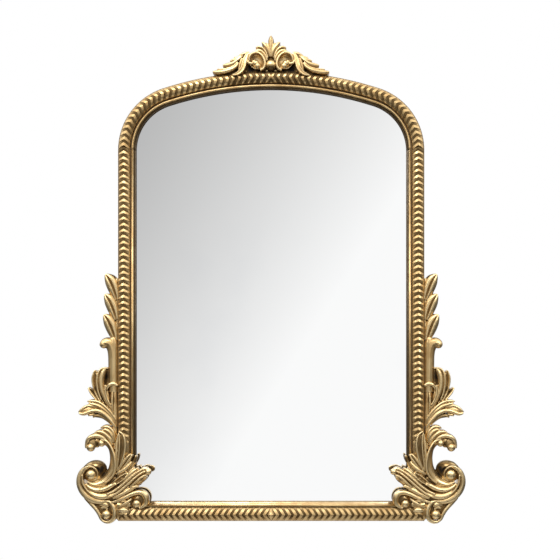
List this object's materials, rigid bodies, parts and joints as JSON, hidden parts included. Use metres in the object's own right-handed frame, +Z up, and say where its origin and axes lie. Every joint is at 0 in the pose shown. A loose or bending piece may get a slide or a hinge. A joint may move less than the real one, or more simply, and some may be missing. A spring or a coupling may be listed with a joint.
{
  "type": "baroque mirror",
  "caption": "Arched wall mirror in a gold carved frame with leaf-tip moulding, scrolled crest, side sprays and corner volutes; hangs by rings, glass held by turn buttons.",
  "frame": {"origin": "on the wall plane, midway between the points where the two rings hang on their hooks", "axes": "+Z up along the height, +X to the right seen from the front, +Y towards the wall, front faces -Y"},
  "size_m": [0.7274, 0.0414, 0.9118],
  "materials": {
    "gilt_wood": "satin champagne gold paint on wood",
    "gilt_resin": "satin champagne gold paint on cast resin",
    "mirror": "silvered float glass",
    "backing_board": "brown hardboard",
    "seal": "black foam tape",
    "pad_rubber": "black rubber",
    "zinc_steel": "zinc plated"
  },
  "bodies": {
    "frame": {"acanthus_spray_left": "gilt_resin", "acanthus_spray_right": "gilt_resin", "arched_head": "gilt_wood", "backing_board": "backing_board", "bottom_rail": "gilt_wood", "button_screws": "zinc_steel", "carving_pins": "zinc_steel", "corner_brace_left": "zinc_steel", "corner_brace_right": "zinc_steel", "corner_leaf_left": "gilt_resin", "corner_leaf_right": "gilt_resin", "corner_scroll_left": "gilt_resin", "corner_scroll_right": "gilt_resin", "crest_curl_left": "gilt_resin", "crest_curl_right": "gilt_resin", "crest_leaf_left": "gilt_resin", "crest_leaf_right": "gilt_resin", "crest_pearl": "gilt_resin", "crest_plume": "gilt_resin", "curled_leaf_left": "gilt_resin", "curled_leaf_right": "gilt_resin", "glazing_seal": "seal", "hanger_strap_left": "zinc_steel", "hanger_strap_right": "zinc_steel", "laurel_sprig_left": "gilt_resin", "laurel_sprig_right": "gilt_resin", "leaf_moulding_arch": "gilt_wood", "leaf_moulding_bottom": "gilt_wood", "leaf_moulding_left": "gilt_wood", "leaf_moulding_right": "gilt_wood", "left_stile": "gilt_wood", "mirror_glass": "mirror", "plate_screws": "zinc_steel", "right_stile": "gilt_wood", "sight_bead_arch": "gilt_wood", "sight_bead_bottom": "gilt_wood", "sight_bead_left": "gilt_wood", "sight_bead_right": "gilt_wood", "splice_plate_left": "zinc_steel", "splice_plate_right": "zinc_steel", "stem_post_left": "gilt_resin", "stem_post_right": "gilt_resin", "strap_screws": "zinc_steel", "wall_pads": "pad_rubber"},
    "ring_left": {"hanger_ring_left": "zinc_steel"},
    "ring_right": {"hanger_ring_right": "zinc_steel"},
    "button_left_lower": {"turn_button_left_lower": "zinc_steel"},
    "button_right_lower": {"turn_button_right_lower": "zinc_steel"},
    "button_left_upper": {"turn_button_left_upper": "zinc_steel"},
    "button_right_upper": {"turn_button_right_upper": "zinc_steel"},
    "button_bottom_left": {"turn_button_bottom_left": "zinc_steel"},
    "button_crown_left": {"turn_button_crown_left": "zinc_steel"},
    "button_bottom_right": {"turn_button_bottom_right": "zinc_steel"},
    "button_crown_right": {"turn_button_crown_right": "zinc_steel"}
  },
  "joints": [
    {"name": "ring_left_swing", "type": "hinge", "parent": "frame", "child": "ring_left", "pos_m": [-0.2755, -0.00522, -0.013], "axis": [-1, 0, 0], "range_deg": [0, 170]},
    {"name": "ring_right_swing", "type": "hinge", "parent": "frame", "child": "ring_right", "pos_m": [0.2755, -0.00522, -0.013], "axis": [-1, 0, 0], "range_deg": [0, 170]},
    {"name": "button_left_lower_turn", "type": "hinge", "parent": "frame", "child": "button_left_lower", "pos_m": [-0.2755, -0.008, -0.464], "axis": [0, 1, 0], "continuous": true},
    {"name": "button_right_lower_turn", "type": "hinge", "parent": "frame", "child": "button_right_lower", "pos_m": [0.2755, -0.008, -0.464], "axis": [0, 1, 0], "continuous": true},
    {"name": "button_left_upper_turn", "type": "hinge", "parent": "frame", "child": "button_left_upper", "pos_m": [-0.2755, -0.008, -0.1304], "axis": [0, 1, 0], "continuous": true},
    {"name": "button_right_upper_turn", "type": "hinge", "parent": "frame", "child": "button_right_upper", "pos_m": [0.2755, -0.008, -0.1304], "axis": [0, 1, 0], "continuous": true},
    {"name": "button_bottom_left_turn", "type": "hinge", "parent": "frame", "child": "button_bottom_left", "pos_m": [-0.09184, -0.008, -0.5915], "axis": [0, 1, 0], "continuous": true},
    {"name": "button_crown_left_turn", "type": "hinge", "parent": "frame", "child": "button_crown_left", "pos_m": [-0.10072, -0.008, 0.22061], "axis": [0, 1, 0], "continuous": true},
    {"name": "button_bottom_right_turn", "type": "hinge", "parent": "frame", "child": "button_bottom_right", "pos_m": [0.09184, -0.008, -0.5915], "axis": [0, 1, 0], "continuous": true},
    {"name": "button_crown_right_turn", "type": "hinge", "parent": "frame", "child": "button_crown_right", "pos_m": [0.10072, -0.008, 0.22061], "axis": [0, 1, 0], "continuous": true}
  ]
}
